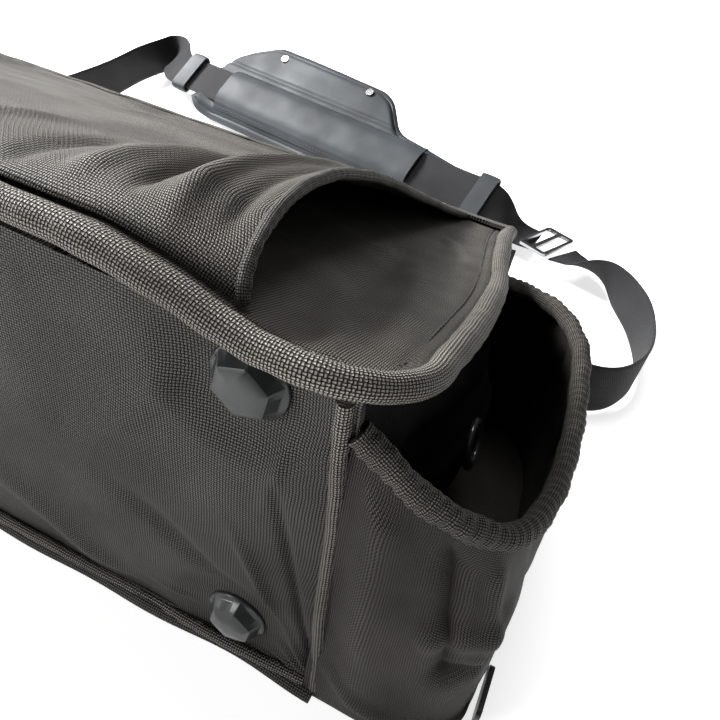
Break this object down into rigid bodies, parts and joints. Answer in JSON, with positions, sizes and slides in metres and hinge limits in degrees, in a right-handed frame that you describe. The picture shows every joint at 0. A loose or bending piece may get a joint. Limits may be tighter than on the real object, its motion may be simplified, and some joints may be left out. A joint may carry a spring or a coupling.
{
  "type": "messenger bag",
  "caption": "Soft landscape messenger bag lying on its back: full flap with rolled edge, open overlay pocket, flared side pockets, base feet and padded shoulder strap.",
  "frame": {"origin": "middle of the bag's back face, on the surface it lies on", "axes": "+X along the bag's length, +Y from the base to the top edge, +Z out of the front flap; the feet face -Y"},
  "size_m": [0.6228, 0.5892, 0.1996],
  "materials": {
    "nylon": "coarse two-by-two basket weave, black with warm grey glints",
    "trim": "rolled and bound edges in the same weave",
    "lining": "smooth matt lining",
    "board": "matt stiffener",
    "webbing": "close ribbed webbing",
    "leather": "smooth satin leather",
    "plastic": "satin moulded",
    "metal": "dark gunmetal"
  },
  "bodies": {
    "bag": {"back_panel": "nylon", "back_sleeve_panel": "nylon", "bottom_panel": "nylon", "end_panel_left": "nylon", "end_panel_right": "nylon", "front_panel": "nylon", "organizer_pocket_panel": "nylon", "side_pocket_left": "nylon", "side_pocket_right": "nylon", "pocket_rim_left": "trim", "pocket_rim_right": "trim", "end_seam_binding_left": "trim", "end_seam_binding_right": "trim", "back_seam_binding": "trim", "padded_divider": "lining", "base_board": "board", "zip_tape_left": "webbing", "zip_tape_right": "webbing", "foot_1": "plastic", "foot_2": "plastic", "foot_3": "plastic", "foot_4": "plastic", "eyelet_left": "plastic", "eyelet_right": "plastic", "foot_rivet_1": "metal", "foot_rivet_2": "metal", "foot_rivet_3": "metal", "foot_rivet_4": "metal", "snap_stud_left": "metal", "snap_stud_right": "metal", "anchor_rivet_left": "metal", "anchor_rivet_right": "metal"},
    "flap_strip": {"flap_hinge_panel": "nylon"},
    "flap": {"flap_panel": "nylon", "flap_lining": "lining", "flap_rolled_edge": "trim", "flap_overlay_panel": "nylon", "overlay_binding_left": "trim", "overlay_binding_right": "trim", "snap_socket_left": "metal", "snap_socket_right": "metal"},
    "strap": {"anchor_tab_left": "leather", "anchor_tab_right": "leather", "d_ring_left": "metal", "d_ring_right": "metal", "strap_webbing_long": "webbing", "strap_webbing_short": "webbing", "strap_keeper_left": "leather", "strap_keeper_right": "leather"},
    "strap_adjuster": {"strap_slider": "metal"},
    "shoulder_rest": {"shoulder_pad": "leather", "pad_tunnel_strip": "leather", "pad_rivet_1": "metal", "pad_rivet_2": "metal"},
    "zip_car_left": {"zip_slider_left": "metal"},
    "zip_car_right": {"zip_slider_right": "metal"},
    "zip_tab_left": {"zip_pull_left": "plastic"},
    "zip_tab_right": {"zip_pull_right": "plastic"}
  },
  "joints": [
    {"name": "flap_base_fold", "type": "hinge", "parent": "bag", "child": "flap_strip", "pos_m": [0, 0.145, 0.007], "axis": [-1, 0, 0], "range_deg": [0, 30]},
    {"name": "flap_top_fold", "type": "hinge", "parent": "flap_strip", "child": "flap", "pos_m": [0, 0.145, 0.083], "axis": [-1, 0, 0], "range_deg": [0, 125]},
    {"name": "strap_swing", "type": "hinge", "parent": "bag", "child": "strap", "pos_m": [0, 0.088, 0.03], "axis": [1, 0, 0], "range_deg": [0, 85]},
    {"name": "strap_adjust", "type": "slide", "parent": "strap", "child": "strap_adjuster", "axis": [-0.9171, 0.3987, 0], "range_m": [0, 0.008]},
    {"name": "shoulder_pad_slide", "type": "slide", "parent": "strap", "child": "shoulder_rest", "axis": [0.9821, -0.1882, 0], "range_m": [-0.006, 0.018]},
    {"name": "zip_run_right", "type": "slide", "parent": "bag", "child": "zip_car_right", "axis": [0, 1, 0], "range_m": [0, 0.078]},
    {"name": "zip_run_left", "type": "slide", "parent": "bag", "child": "zip_car_left", "axis": [0, 1, 0], "range_m": [0, 0.078]},
    {"name": "zip_tab_swing_right", "type": "hinge", "parent": "zip_car_right", "child": "zip_tab_right", "pos_m": [0.2921, -0.101, 0.01], "axis": [0, 0, 1], "range_deg": [0, 150]},
    {"name": "zip_tab_swing_left", "type": "hinge", "parent": "zip_car_left", "child": "zip_tab_left", "pos_m": [-0.2921, -0.101, 0.01], "axis": [0, 0, -1], "range_deg": [0, 150]}
  ]
}
